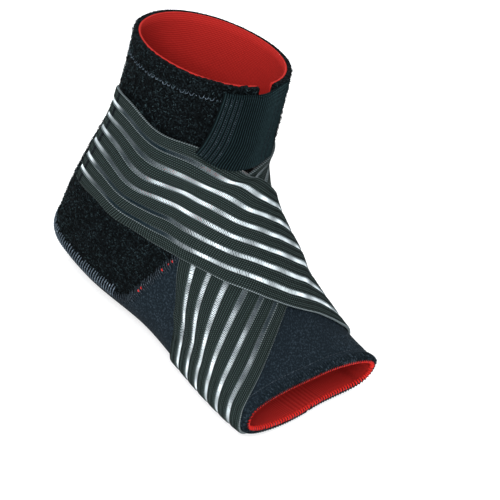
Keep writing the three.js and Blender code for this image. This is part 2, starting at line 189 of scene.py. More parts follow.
bpy.context.scene.collection.objects.link(camera)
turn = Matrix((right, top, back)).transposed().to_4x4()
camera.matrix_world = Matrix.Translation(TARGET + back * CAMERA_DISTANCE) @ turn
bpy.context.scene.camera = camera
print("camera:", [round(v, 3) for v in camera.matrix_world.translation])

# %% [markdown]
# Black cloth only shows its pile when light rakes over it, so the key light is a broad soft one
# from the upper left and front. A second one lights the toe end, a third stands behind, and the
# surroundings are nearly white.

# %% Light and floor
scene = bpy.context.scene
scene.view_settings.view_transform = "Standard"


def set_inputs(node, **values):
    """Sets inputs of a node by name, with _ for a space."""
    for label, value in values.items():
        node.inputs[label.replace("_", " ")].default_value = value


def area_light(name, place, power, size, warmth=(1, 1, 1)):
    data = bpy.data.lights.new(name, "AREA")
    data.energy, data.size, data.color = power, size, warmth
    lamp = bpy.data.objects.new(name, data)
    lamp.location = place
    lamp.rotation_euler = (TARGET - Vector(place)).to_track_quat("-Z", "Y").to_euler()
    scene.collection.objects.link(lamp)


area_light("key_light", (-1.25, -0.2, 1.05), 24, 0.7)
area_light("toe_light", (-0.5, -1.3, 0.6), 5, 0.6, (0.93, 0.97, 1))
area_light("rim_light", (0.6, 1.1, 1.2), 14, 0.7, (0.93, 0.97, 1))
world = bpy.data.worlds.new("studio")
scene.world = world
world.use_nodes = True
set_inputs(world.node_tree.nodes["Background"], Color=(0.95, 0.97, 1, 1), Strength=0.95)


def new_material(name, **inputs):
    """A material and its shader node, with some of the node's inputs set."""
    material = bpy.data.materials.new(name)
    material.use_nodes = True
    node = material.node_tree.nodes["Principled BSDF"]
    set_inputs(node, **inputs)
    return material, node


floor_mesh = bpy.data.meshes.new("floor")
bm = bmesh.new()
bmesh.ops.create_grid(bm, x_segments=4, y_segments=4, size=6)
bm.to_mesh(floor_mesh)
bm.free()
floor = bpy.data.objects.new("floor", floor_mesh)
scene.collection.objects.link(floor)
floor.location.z = -0.0004
floor_mesh.materials.append(new_material(
    "floor_paper", Base_Color=(0.5, 0.5, 0.5, 1), Emission_Color=(1, 1, 1, 1),
    Emission_Strength=0.62, Roughness=0.9,
)[0])

# %% [markdown]
# The finishes share two effects. One is a woven grid of ribs and threads that follows
# the cloth's own UV map, in metres along and across. The other is the speckle of a curly pile.
# Each is a node group with named inputs, so a material only states its own spacing and colours.


# %% Node helpers
def feed(tree, value, socket):
    """Sets a socket from another socket or from a plain value."""
    if isinstance(value, bpy.types.NodeSocket):
        tree.links.new(value, socket)
    else:
        socket.default_value = value


def math_node(tree, operation, a, b=None):
    """A math node whose inputs are sockets or numbers. Returns its output."""
    node = tree.nodes.new("ShaderNodeMath")
    node.operation = operation
    feed(tree, a, node.inputs[0])
    if b is not None:
        feed(tree, b, node.inputs[1])
    return node.outputs[0]


def times(tree, a, b):
    return math_node(tree, "MULTIPLY", a, b)


def plus(tree, a, b):
    return math_node(tree, "ADD", a, b)


def colour_mix(tree, mask, low, high):
    """Mixes two colours by a mask socket. Returns the colour."""
    node = tree.nodes.new("ShaderNodeMix")
    node.data_type = "RGBA"
    feed(tree, mask, node.inputs["Factor"])
    feed(tree, (*low, 1), node.inputs[6])
    feed(tree, (*high, 1), node.inputs[7])
    return node.outputs[2]


def noise(tree, vector, scale, detail=2, roughness=0.6):
    node = tree.nodes.new("ShaderNodeTexNoise")
    set_inputs(node, Detail=detail, Roughness=roughness)
    feed(tree, scale, node.inputs["Scale"])
    feed(tree, vector, node.inputs["Vector"])
    return node.outputs["Fac"]


def stretch(tree, value, low, high):
    """Maps low..high to 0..1, clamped."""
    node = tree.nodes.new("ShaderNodeMapRange")
    set_inputs(node, From_Min=low, From_Max=high)
    tree.links.new(value, node.inputs["Value"])
    return node.outputs["Result"]


def new_group(name, inputs, outputs):
    """A node group with float inputs {name: default} and named float outputs."""
    group = bpy.data.node_groups.new(name, "ShaderNodeTree")
    for label, value in inputs.items():
        socket = group.interface.new_socket(label, in_out="INPUT", socket_type="NodeSocketFloat")
        socket.default_value = value
    for label in outputs:
        group.interface.new_socket(label, in_out="OUTPUT", socket_type="NodeSocketFloat")
    return group, group.nodes.new("NodeGroupInput"), group.nodes.new("NodeGroupOutput")


def place_group(tree, group, **values):
    node = tree.nodes.new("ShaderNodeGroup")
    node.node_tree = group
    set_inputs(node, **values)
    return node


def bump(tree, height, shader_node, distance):
    node = tree.nodes.new("ShaderNodeBump")
    set_inputs(node, Distance=distance, Strength=1)
    tree.links.new(height, node.inputs["Height"])
    tree.links.new(node.outputs[0], shader_node.inputs["Normal"])


# %% Weave group
weave, g_in, g_out = new_group(
    "weave", {"Rib pitch": 1.0, "Row pitch": 1.0, "Slant": 0.0}, ("Height", "Thread"),
)
split = weave.nodes.new("ShaderNodeSeparateXYZ")
feed(weave, weave.nodes.new("ShaderNodeTexCoord").outputs["UV"], split.inputs[0])
along, across = (times(weave, split.outputs[axis], 1000) for axis in "XY")
lean = times(weave, across, g_in.outputs["Slant"])
rib_turn = math_node(weave, "DIVIDE", plus(weave, along, lean), g_in.outputs["Rib pitch"])
row_turn = math_node(weave, "DIVIDE", across, g_in.outputs["Row pitch"])
ribs, rows = (
    plus(weave, times(weave, math_node(weave, "SINE", times(weave, turned, 2 * math.pi)), 0.5), 0.5)
    for turned in (rib_turn, row_turn)
)
feed(weave, plus(weave, times(weave, ribs, 0.6), times(weave, rows, 0.4)), g_out.inputs["Height"])
feed(weave, times(weave, ribs, rows), g_out.inputs["Thread"])

# %% Pile group
pile, g_in, g_out = new_group("pile", {"Curl size": 1.0, "Patch size": 12.0}, ("Height", "Glint"))
place = pile.nodes.new("ShaderNodeTexCoord").outputs["Object"]
speckle, patches = (
    noise(pile, place, math_node(pile, "DIVIDE", 1000, g_in.outputs[label]), detail, 0.65)
    for label, detail in (("Curl size", 3), ("Patch size", 1))
)
cells = pile.nodes.new("ShaderNodeTexVoronoi")
cells.feature = "SMOOTH_F1"
set_inputs(cells, Smoothness=0.3)
feed(pile, place, cells.inputs["Vector"])
feed(pile, math_node(pile, "DIVIDE", 1300, g_in.outputs["Curl size"]), cells.inputs["Scale"])
loops = math_node(pile, "SUBTRACT", 1, cells.outputs["Distance"])
feed(pile, plus(pile, times(pile, speckle, 0.6), times(pile, loops, 0.4)), g_out.inputs["Height"])
glint = times(pile, stretch(pile, speckle, 0.5, 0.72), plus(pile, times(pile, patches, 1.2), 0.1))
feed(pile, glint, g_out.inputs["Glint"])
print("groups:", [g.name for g in bpy.data.node_groups])

# %% [markdown]
# The real plush is a brushed loop cloth, near black with cool grey tips. The neoprene's face is a
# flat navy knit. The lining is a bright red knit, and the elastic is a dark green-grey weave with
# a paler thread along each band's edges.


# %% Cloth materials
def cloth(name, low, high, mask_of, rough, bump_mm, specular=0.05):
    """A cloth material: mask_of(tree) gives the sockets (colour mask, height)."""
    material, node = new_material(name, Roughness=rough, Specular_IOR_Level=specular)
    tree = material.node_tree
    mask, lift = mask_of(tree)
    tree.links.new(colour_mix(tree, mask, low, high), node.inputs["Base Color"])
    bump(tree, lift, node, bump_mm * MM)
    return material


def pile_mask(curl, patch):
    def build(tree):
        node = place_group(tree, pile, Curl_size=curl, Patch_size=patch)
        return node.outputs["Glint"], node.outputs["Height"]
    return build


def weave_mask(rib, row, slant=0.0, mottle=0.0):
    def build(tree):
        node = place_group(tree, weave, Rib_pitch=rib, Row_pitch=row, Slant=slant)
        spot = noise(tree, tree.nodes.new("ShaderNodeTexCoord").outputs["Object"], 900)
        uneven = plus(tree, times(tree, spot, mottle), 1 - mottle / 2)
        return times(tree, node.outputs["Thread"], uneven), node.outputs["Height"]
    return build


plush = cloth("plush_black", (0.0008, 0.0014, 0.0017), (0.017, 0.028, 0.033), pile_mask(1.1, 14), 0.95, 0.9)
navy = cloth("neoprene_navy", (0.0045, 0.0085, 0.012), (0.034, 0.05, 0.066), pile_mask(1.0, 20), 0.85, 0.3)
# The lining's red is darker than the knit's own bright red: painted shade for the inside of the brace
shaded_red_knit = cloth("lining_red", (0.24, 0.009, 0.008), (0.46, 0.028, 0.021), weave_mask(1.0, 0.8), 0.85, 0.2)
elastic = cloth(
    "elastic_green_grey", (0.0015, 0.003, 0.0028), (0.05, 0.072, 0.069),
    weave_mask(1.05, 1.1, 0.35, 0.9), 0.8, 0.3,
)
edge_thread = cloth(
    "elastic_edge_thread", (0.004, 0.007, 0.007), (0.24, 0.29, 0.3),
    weave_mask(1.05, 3.0, 0.2, 0.8), 0.7, 0.3,
)
tab_weave = cloth(
    "tab_ribbed", (0.0002, 0.0007, 0.0009), (0.026, 0.05, 0.056),
    weave_mask(1.3, 0.5, 0.0, 1.2), 0.9, 0.4, 0.02,
)
hook_felt = cloth("hook_black", (0.003, 0.003, 0.004), (0.04, 0.045, 0.05), weave_mask(1.3, 1.3), 0.8, 0.8)

# Threads: darkest and lightest colour, and the sizes of the fibre's speckle
THREADS = {
    "black": ((0.004, 0.005, 0.007), (0.03, 0.038, 0.046), (0.5, 9)),
    "grey": ((0.05, 0.068, 0.085), (0.27, 0.34, 0.41), (0.8, 9)),
    "slate": ((0.016, 0.022, 0.028), (0.12, 0.155, 0.19), (0.8, 9)),
    "whip": ((0.003, 0.006, 0.008), (0.07, 0.1, 0.125), (1.4, 9)),
    "red": ((0.52, 0.018, 0.014), (0.85, 0.05, 0.035), (0.5, 6)),
}
thread = {
    colour: cloth(f"thread_{colour}", low, high, pile_mask(*speckle), 0.8, 0.05)
    for colour, (low, high, speckle) in THREADS.items()
}


def toned(name, rough, specular):
    """A material whose colour is the mesh's own attribute, one tone to a thread."""
    material, node = new_material(name, Roughness=rough, Specular_IOR_Level=specular)
    tone = material.node_tree.nodes.new("ShaderNodeVertexColor")
    tone.layer_name = "tone"
    material.node_tree.links.new(tone.outputs["Color"], node.inputs["Base Color"])
    return material


def give_tones(mesh, bright, low, spread):
    """Colours the threads of a mesh: low, plus spread times each thread's brightness."""
    share = np.repeat(bright, len(mesh.vertices) // len(bright))[:, None]
    colours = np.hstack([np.array(low) + share * np.array(spread), np.ones_like(share)])
    layer = mesh.color_attributes.new("tone", "FLOAT_COLOR", "POINT")
    layer.data.foreach_set("color", colours.ravel())


filament = toned("filament_clear", 0.35, 0.06)
print("materials:", len(bpy.data.materials))

# %% [markdown]
# Each cloth starts as Blender's own flat grid. Its corners are then moved on to the form, and the
# UV map keeps about its real size in metres, so a weave of 1 mm stays near 1 mm everywhere.


# %% Cloth helpers
def flat_grid(columns, rows):
    """A bmesh grid whose x and y run from 0 to 1."""
    grid = bmesh.new()
    grid.loops.layers.uv.new("UVMap")
    bmesh.ops.create_grid(grid, x_segments=columns, y_segments=rows, size=0.5, calc_uvs=True)
    bmesh.ops.reverse_faces(grid, faces=grid.faces)
    bmesh.ops.translate(grid, verts=grid.verts, vec=(0.5, 0.5, 0))
    return grid


def coordinates(mesh):
    co = np.zeros(len(mesh.vertices) * 3)
    mesh.vertices.foreach_get("co", co)
    return co.reshape(-1, 3)


def to_mesh(grid, name):
    mesh = bpy.data.meshes.new(name)
    grid.to_mesh(mesh)
    grid.free()
    return mesh


def set_coordinates(mesh, points):
    mesh.vertices.foreach_set("co", (points * MM).ravel())
    mesh.update()


def scale_uv(mesh, length, width):
    """The UV map in metres: length along x of the flat grid, width along y."""
    layer = mesh.uv_layers.active.data
    uvs = np.zeros(len(layer) * 2)
    layer.foreach_get("uv", uvs)
    uvs = uvs.reshape(-1, 2) * (length * MM, width * MM)
    layer.foreach_set("uv", uvs.ravel())


def add_wall(piece, thickness):
    """Gives a cloth its thickness, inwards from the face that was laid out, and applies it."""
    wall = piece.modifiers.new("thickness", "SOLIDIFY")
    wall.thickness = thickness * MM
    wall.offset = -1
    wall.use_even_offset = False
    graph = bpy.context.evaluated_depsgraph_get()
    mesh = bpy.data.meshes.new_from_object(piece.evaluated_get(graph))
    piece.modifiers.clear()
    piece.data = mesh


def finish_piece(mesh, material, replaced=(), wall=0.0):
    """Puts a mesh into the scene as a piece that rides on the brace, with a wall if it is a cloth."""
    piece = bpy.data.objects.new(mesh.name, mesh)
    scene.collection.objects.link(piece)
    if material:
        mesh.materials.append(material)
    mesh.polygons.foreach_set("use_smooth", [True] * len(mesh.polygons))
    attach(piece, ROOT)
    if replaced:
        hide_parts(*replaced)
    print(piece.name, len(mesh.polygons), "faces")
    if wall:
        add_wall(piece, wall)
    return piece


# %% [markdown]
# The plush panel is one cloth from the heel seam to the cuff, open down the front, with a notch
# low on each side. The flat grid carries three bands of the table (below,
# beside and above the notch), and the faces of the notch are deleted before it is laid out.

# %% Ankle panel table
# Columns: rimAngle, highAngle, highU, lowAngle, lowU, seamAngle, seamU
PANEL_HALF = np.array([
    [112, 110, 8.05, 134, 5.4, 134, 5.1], [123, 122, 8.02, 134, 5.4, 134, 5.1],
    [134, 135, 8.05, 135, 5.42, 136, 5.05], [146, 148, 8.1, 148, 5.95, 146, 4.9],
    [158, 161, 8.02, 161, 6.6, 157, 4.7], [170, 173, 7.9, 173, 7.15, 169, 4.6],
    [181, 182, 7.88, 182, 7.05, 180, 4.5], [192, 192, 7.88, 192, 7.0, 191, 4.42],
    [203, 203, 7.88, 202, 7.0, 203, 4.4], [214, 214, 7.88, 212, 7.0, 214, 4.55],
    [225, 225, 7.88, 222, 7.0, 220, 5.1], [236, 236, 7.88, 233, 7.0, 227, 5.65],
    [248, 248, 7.88, 246, 7.0, 240, 6.05], [259, 259, 7.88, 258, 7.0, 254, 6.25],
    [270, 270, 7.88, 270, 7.0, 270, 6.3],
])
FLAP = np.array([[440, 442, 8.02, 406, 5.4, 406, 5.1], [456, 458, 8.05, 406, 5.4, 406, 5.1]])
mirror = PANEL_HALF[::-1][1:-1].copy()
mirror[:, [0, 1, 3, 5]] = 540 - mirror[:, [0, 1, 3, 5]]
PANEL = np.vstack([PANEL_HALF, mirror, FLAP])
HALF, LOWER_START, MIDDLE_START = len(PANEL_HALF) - 1, 2, 5
LOWER_END, MIDDLE_END = 2 * HALF - LOWER_START, 2 * HALF - MIDDLE_START
PANEL_SPAN = len(PANEL) - 1
FINE_PANEL, COARSE_PANEL, PILE_DEPTH, PANEL_SIZE = (12, (62, 26, 58)), (4, (20, 8, 18)), 0.35, (280, 165)


def panel_place(column, level):
    """Station and angle of the panel: column of the table, level 0 seam to 3 rim."""
    row = spline(PANEL, np.clip(column, 0, PANEL_SPAN))
    rim_angle, high_angle, high_u, low_angle, low_u, seam_angle, seam_u = row.T
    stations = np.stack([seam_u, low_u, high_u, np.full_like(seam_u, RIM_STATION)], 1)
    angles = np.stack([seam_angle, low_angle, high_angle, rim_angle], 1)
    i = np.clip(np.floor(level).astype(int), 0, 2)
    t, pick = level - i, np.arange(len(i))
    return (mix(stations[pick, i], stations[pick, i + 1], t),
            mix(angles[pick, i], angles[pick, i + 1], t))


def panel_mesh(name, per_column, band_rows, height, relief=0.0):
    """The panel's face at a height above the form."""
    rows = sum(band_rows)
    grid = flat_grid(PANEL_SPAN * per_column, rows)
    gone = []
    for face in grid.faces:
        centre = face.calc_center_median()
        column, row = centre.x * PANEL_SPAN, centre.y * rows
        if row < band_rows[0]:
            keep = LOWER_START < column < LOWER_END
        else:
            keep = row > band_rows[0] + band_rows[1] or MIDDLE_START < column < MIDDLE_END
        if not keep:
            gone.append(face)
    bmesh.ops.delete(grid, geom=gone, context="FACES")
    mesh = to_mesh(grid, name)
    flat = coordinates(mesh)
    edges = np.concatenate([[0], np.cumsum(band_rows)])
    level = np.interp(flat[:, 1] * rows, edges, [0, 1, 2, 3])
    u, angle = panel_place(flat[:, 0] * PANEL_SPAN, level)
    set_coordinates(mesh, raised(u, angle, height + pile_relief(skin(u, angle), relief)))
    scale_uv(mesh, *PANEL_SIZE)
    return mesh


def pile_relief(points, size):
    """Soft unevenness of a pile, as lengths in millimetres."""
    waves = ((1.9, 1.3, 2.3), (-2.1, 1.7, 1.1), (0.7, -2.9, 1.9), (2.6, 0.9, -1.8), (-1.2, -2.2, 2.8))
    total = sum(np.sin(points @ np.array(w) + k * 1.7) for k, w in enumerate(waves))
    return size * total / 5


panel_piece = finish_piece(
    panel_mesh("ankle_panel_plush", *FINE_PANEL, WALL, PILE_DEPTH),
    plush, ["ankle_panel"], NEOPRENE + LAYER_GAP,
)
lining_piece = finish_piece(
    panel_mesh("ankle_lining_red", *COARSE_PANEL, LINING),
    shaded_red_knit, ["ankle_lining"], LINING,
)

# %% [markdown]
# The foot sleeve is a tube, so its flat grid is rolled up until its two side edges meet, and the
# doubled corners there are merged. Its rear edge follows the heel seam and then the instep.

# %% Foot sleeve
INSTEP_EDGE = np.array([[124, 4.7], [112, 4.38], [101, 4.15], [90, 4.05]])
heel_seam = PANEL[LOWER_START:LOWER_END + 1, [6, 5]]
near_side = INSTEP_EDGE[:, ::-1] * (1, -1) + (0, 540)
far_side = INSTEP_EDGE[-2::-1, ::-1] + (0, 360)
sleeve_rear = np.vstack([heel_seam, near_side, far_side, heel_seam[:1] + (0, 360)])
FINE_SLEEVE, COARSE_SLEEVE, SLEEVE_SIZE, HEM_WIDTH, HEM_DEPTH = (180, 120), (96, 40), (379, 181), 7.0, 0.5


def toe_station(angle):
    """Station of the toe rim, which lies aslant."""
    return TOE_STATION - TOE_SLANT * np.cos(np.radians(angle))


def sleeve_place(round_share, share):
    """Station and angle of the sleeve: a share of the way round, and 0 at the toe rim to 1."""
    rear = spline(sleeve_rear, round_share * (len(sleeve_rear) - 1))
    return mix(toe_station(rear[:, 1]), rear[:, 0], share), rear[:, 1]


def sleeve_mesh(name, columns, rows, height, relief=0.0):
    mesh = to_mesh(flat_grid(columns, rows), name)
    flat = coordinates(mesh)
    u, angle = sleeve_place(flat[:, 0], flat[:, 1])
    set_coordinates(mesh, raised(u, angle, height + hem_relief(u, angle, relief)))
    scale_uv(mesh, *SLEEVE_SIZE)
    rolled = bmesh.new()
    rolled.from_mesh(mesh)
    bmesh.ops.remove_doubles(rolled, verts=rolled.verts, dist=0.00001)
    rolled.to_mesh(mesh)
    rolled.free()
    return mesh


def rim_distance(u, angle):
    """Distance from the toe rim in millimetres."""
    return np.linalg.norm(skin(u, angle) - skin(toe_station(angle), angle), axis=1)


def hem_relief(u, angle, size):
    """The turned hem at the toe end: a slight groove where it is sewn down."""
    return -size * np.exp(-((rim_distance(u, angle) - HEM_WIDTH) / 1.1) ** 2)


sleeve_piece = finish_piece(
    sleeve_mesh("foot_sleeve_neoprene", *FINE_SLEEVE, WALL, HEM_DEPTH),
    navy, ["foot_sleeve"], NEOPRENE + LAYER_GAP,
)
inner_piece = finish_piece(
    sleeve_mesh("foot_lining_red", *COARSE_SLEEVE, LINING),
    shaded_red_knit, ["foot_lining"], LINING,
)

# %% [markdown]
# What is wrapped later lies over what is already there. A record of the lower layers is kept as
# sample points with heights, and a new layer rises over them and comes down beside them.


# %% Layers that lie on each other
laid_points, laid_heights = np.zeros((0, 3)), np.zeros(0)


def resting(u, angle, clearance=STRAP_CLEAR):
    """Height at which the next layer lies, over the wall and over what is laid."""
    at = skin(u, angle)
    height = np.full(len(at), WALL + clearance)
    for start in range(0, len(at) if len(laid_points) else 0, 4000):
        part = slice(start, start + 4000)
        apart = np.linalg.norm(at[part, None] - laid_points[None], axis=2) - LAID_REACH
        raise_by = 1 - smooth(apart / SLOPE_LENGTH)
        over_it = WALL + (laid_heights[None] - WALL) * raise_by + clearance
        height[part] = np.maximum(height[part], over_it.max(axis=1))
    return height


def lay(u, angle, thickness):
    """Adds a layer's own samples to what is laid."""
    global laid_points, laid_heights
    heights = resting(u, angle) + thickness
    laid_points = np.vstack([laid_points, skin(u, angle)])
    laid_heights = np.concatenate([laid_heights, heights])


# %% [markdown]
# The strap is one length of elastic. It starts on the outer side above the heel, crosses the
# instep, goes under the sole, crosses the instep again beneath itself, and is sewn at the inner
# side. The table gives its two edges, and a short walk over the form keeps its real width.

# %% Strap table
# Columns: topU, topAngle, bottomU, bottomAngle, and the width there as a share of the strap's
STRAP = np.array([
    [9.63, 230, 7.4, 222, 0.97], [9.5, 205, 7.2, 205, 0.99], [9.3, 189, 6.9, 192, 0.97],
    [9.1, 170, 6.1, 176, 1], [8.85, 147, 5.35, 165, 1.05], [8.45, 131, 4.85, 159, 1],
    [7.85, 116, 4.3, 155, 0.98], [7, 103, 3.8, 148, 0.95], [6.1, 94, 3.3, 135, 0.94],
    [5.45, 84, 2.8, 118, 0.95], [4.85, 71, 2.37, 101, 0.96], [4.5, 56, 2.02, 87, 0.96],
    [4.25, 39, 1.8, 71, 0.95], [3.95, 22, 1.6, 54, 0.95], [3.55, 3, 1.42, 33, 0.93],
    [3.3, -8, 1.2, 8, 0.9], [3.1, -22, 1.12, -15, 0.92], [3, -50, 1.1, -48, 0.93],
    [3, -90, 1.1, -90, 0.93], [3, -130, 1.1, -132, 0.93], [3.1, -158, 1.12, -165, 0.92],
    [3.3, -172, 1.2, -188, 0.9], [3.7, -182, 1.5, -222, 0.93], [4.4, -199, 1.95, -258, 0.97],
    [4.9, -215, 2.65, -286, 1], [5.6, -229, 3.4, -309, 1.02], [6.4, -241, 4.1, -328, 1],
    [7.1, -253, 4.6, -341, 1], [7.75, -267, 5.2, -351, 1], [8.05, -290, 5.7, -357, 1],
    [8.5, -320, 6.2, -364, 1], [8.85, -347, 6.6, -371, 0.98], [9, -368, 6.8, -378, 0.97],
    [9.2, -387, 7, -388, 0.96], [9.3, -410, 7.3, -402, 0.95],
])
STRAP_SPAN, SOLE_ROW, CROSSING_ROW, UPPER_ROW = len(STRAP) - 1, 18, 21, 12


def across_strap(place, share, steps=6):
    """Station and angle at a share of the strap's width, 0 at its top edge."""
    top_u, top_angle, low_u, low_angle, width = spline(STRAP, place).T
    way_u, way_angle = low_u - top_u, low_angle - top_angle
    u, angle = (top_u + low_u) / 2, (top_angle + low_angle) / 2
    side, step = np.sign(share - 0.5), np.abs(share - 0.5) * STRAP_WIDTH * width / steps
    for _ in range(steps):
        along_u, along_angle = slopes(u, angle)
        speed = np.linalg.norm(along_u * way_u[:, None] + along_angle * way_angle[:, None], axis=1)
        u = u + side * step * way_u / speed
        angle = angle + side * step * way_angle / speed
    return u, angle


lattice, fine_places = np.linspace(0, STRAP_SPAN, len(STRAP) * 14), np.linspace(0, STRAP_SPAN, 9000)
middle_line = raised(*across_strap(fine_places, np.full(len(fine_places), 0.5)), WALL + STRAP_CLEAR)
run = run_along(middle_line)
STRAP_LENGTH = run[-1]


def place_at(distance):
    """Place in the strap's table at a distance from its free end, in millimetres."""
    return np.interp(distance, run, fine_places)


def strap_samples(places):
    return across_strap(*pairs(places, np.linspace(0, 1, 11)))


print("strap length:", round(STRAP_LENGTH, 1), "mm")


# %% Strap heights on a lattice
SHARES = np.linspace(0, 1, 21)
HOOK_INSET, HOOK_LENGTH, HOOK_MARGIN = 8, 24, 0.05
# Offsets in millimetres over which the strap's points are evened
EVENED = (-1.8, -0.9, 0.0, 0.9, 1.8)


def lattice_heights(places):
    return resting(*across_strap(*pairs(places, SHARES))).reshape(-1, len(SHARES))


def strap_hook_place(x, y):
    return across_strap(place_at(HOOK_INSET + HOOK_LENGTH * x), HOOK_MARGIN + (1 - 2 * HOOK_MARGIN) * y)


lay(*strap_hook_place(*pairs(np.linspace(0, 1, 6), np.linspace(0, 1, 10))), HOOK_THICK)
under_part = lattice > SOLE_ROW
strap_heights = np.zeros((len(lattice), len(SHARES)))
strap_heights[under_part] = lattice_heights(lattice[under_part])
lay(*strap_samples(lattice[lattice > CROSSING_ROW][::4]), STRAP_THICK)
strap_heights[~under_part] = lattice_heights(lattice[~under_part])
lay(*strap_samples(lattice[lattice < UPPER_ROW][::4]), STRAP_THICK)


def strap_height(place, share):
    """Height of the strap's underside above the form."""
    i = np.clip(place / STRAP_SPAN * (len(lattice) - 1), 0, len(lattice) - 1.001)
    j = np.clip(share * (len(SHARES) - 1), 0, len(SHARES) - 1.001)
    a, b = i.astype(int), j.astype(int)
    s, t = i - a, j - b
    near = mix(strap_heights[a, b], strap_heights[a, b + 1], t)
    far = mix(strap_heights[a + 1, b], strap_heights[a + 1, b + 1], t)
    return mix(near, far, s)


def strap_points(distance, share, height):
    """Points in millimetres at a distance from the free end and a share of the width.

    Each is the mean of a short stretch, because the form's square corners bunch the places."""
    total = 0
    for ahead in EVENED:
        place = place_at(np.clip(distance + ahead, 0, STRAP_LENGTH))
        u, angle = across_strap(place, share)
        total = total + raised(u, angle, strap_height(place, share) + height)
    return total / len(EVENED)


# %% [markdown]
# A band is a closed ribbon: a flat grid is folded round so that its outer rows become the sides
# and the underside. The crosswise ribs are real relief, about one to a millimetre of strap.

# %% Strap bands
BAND_WIDTH = (STRAP_WIDTH - (BAND_COUNT - 1) * STRIPE_WIDTH) / BAND_COUNT
RIB_PITCH = 1.05
# Section of a band: share of its width, height as a share of the thickness
BAND_SECTION = np.array([
    [0.5, 0.0], [0.04, 0.0], [0.0, 0.25], [0.0, 0.75], [0.05, 0.95], [0.16, 1.0], [0.38, 1.0],
    [0.62, 1.0], [0.84, 1.0], [0.95, 0.95], [1.0, 0.75], [1.0, 0.25], [0.96, 0.0], [0.5, 0.0],
])


def band_mesh(index):
    """One ribbed band as a closed ribbon, along the whole strap."""
    rows = int(STRAP_LENGTH / RIB_PITCH * 2)
    mesh = to_mesh(flat_grid(rows, len(BAND_SECTION) - 1), "band")
    flat = coordinates(mesh)
    k = np.rint(flat[:, 1] * (len(BAND_SECTION) - 1)).astype(int)
    along_row = np.rint(flat[:, 0] * rows)
    section = BAND_SECTION[k]
    first = index * (BAND_WIDTH + STRIPE_WIDTH)
    share = (first + section[:, 0] * BAND_WIDTH) / STRAP_WIDTH
    rib = np.where(along_row % 2 == 0, 1.0, -1.0) * np.where(section[:, 1] > 0.9, 0.11, 0.0)
    pinch = np.where((along_row == 0) | (along_row == rows), 0.4, 1.0)
    height = (section[:, 1] * pinch + (1 - pinch) / 2) * (STRAP_THICK - 0.12) + rib * pinch
    distance = flat[:, 0] * STRAP_LENGTH
    set_coordinates(mesh, strap_points(distance, share, height))
    loops_of = np.zeros(len(mesh.loops), int)
    mesh.loops.foreach_get("vertex_index", loops_of)
    uvs = np.stack([distance, section[:, 0] * BAND_WIDTH], 1)[loops_of] * MM
    mesh.uv_layers.active.data.foreach_set("uv", uvs.ravel())
    edge = (section[:, 0] < 0.1) | (section[:, 0] > 0.9)
    mesh.polygons.foreach_set("material_index", [
        int(edge[list(p.vertices)].sum() >= 3) for p in mesh.polygons
    ])
    return mesh


def join_meshes(meshes, name):
    """One mesh from several, with its doubled corners merged."""
    joined = bmesh.new()
    for mesh in meshes:
        joined.from_mesh(mesh)
        bpy.data.meshes.remove(mesh)
    bmesh.ops.remove_doubles(joined, verts=joined.verts, dist=0.000005)
    edges = [e for e in joined.edges if e.is_boundary]
    bmesh.ops.holes_fill(joined, edges=edges)
    bmesh.ops.recalc_face_normals(joined, faces=joined.faces)
    return to_mesh(joined, name)


bands = join_meshes([band_mesh(k) for k in range(BAND_COUNT)], "strap_bands")
bands.materials.append(elastic)
bands.materials.append(edge_thread)
bands_piece = finish_piece(bands, None, ["figure_eight_strap"])

# %% [markdown]
# Between the bands only the clear crosswise filament is left, so each stripe is a ladder of short
# threads. One thread is made once and copied along the stripes. Their colour carries painted light:
# a painted highlight makes the glossy filament white along most of the strap, and it is darker
# grey-blue where the dark cloth beneath shows through it.


# %% Thread helper
def thread_form(cuts, sides=5):
    """A short closed tube along x from 0 to 1, with a radius of 1 in y and z."""
    form = bmesh.new()
    bmesh.ops.create_cone(form, cap_ends=True, segments=sides, radius1=1, radius2=1, depth=1)
    bmesh.ops.rotate(form, verts=form.verts, cent=(0, 0, 0), matrix=Matrix.Rotation(math.pi / 2, 3, "Y"))
    bmesh.ops.translate(form, verts=form.verts, vec=(0.5, 0, 0))
    rails = [e for e in form.edges if abs(e.verts[0].co.x - e.verts[1].co.x) > 0.5]
    bmesh.ops.subdivide_edges(form, edges=rails, cuts=cuts)
    return to_mesh(form, "thread")


def repeat_form(form, count, name):
    """count copies of a small mesh in one mesh, in order."""
    whole = bmesh.new()
    for _ in range(count):
        whole.from_mesh(form)
    return to_mesh(whole, name)


def swept_threads(name, paths, radius, cuts=3, sides=5, taper=0.0):
    """Threads along paths: an array of threads, each of cuts + 2 points in millimetres."""
    paths = np.asarray(paths, float)
    form = thread_form(cuts, sides)
    flat = np.tile(coordinates(form), (len(paths), 1))
    mesh = repeat_form(form, len(paths), name)
    bpy.data.meshes.remove(form)
    owner = np.repeat(np.arange(len(paths)), len(flat) // len(paths))
    step = np.rint(flat[:, 0] * (cuts + 1)).astype(int)
    ahead = paths[:, np.minimum(np.arange(cuts + 2) + 1, cuts + 1)]
    behind = paths[:, np.maximum(np.arange(cuts + 2) - 1, 0)]
    tangent = unit(ahead - behind)
    centre = paths.mean(axis=(0, 1))
    away = unit(paths - centre)
    side = unit(np.cross(tangent, away))
    lift = np.cross(side, tangent)
    shape = radius * (1 - taper * np.abs(2 * flat[:, :1] - 1) ** 2)
    points = (paths[owner, step] + side[owner, step] * flat[:, 1:2] * shape
              + lift[owner, step] * flat[:, 2:3] * shape)
    set_coordinates(mesh, points)
    return mesh


# %% Strap filament
FILAMENT_PITCH, FILAMENT_RADIUS, OPEN_START = 0.85, 0.33, 1.2
FILAMENT_HEIGHT, FILAMENT_GRIP = 0.75, 0.3
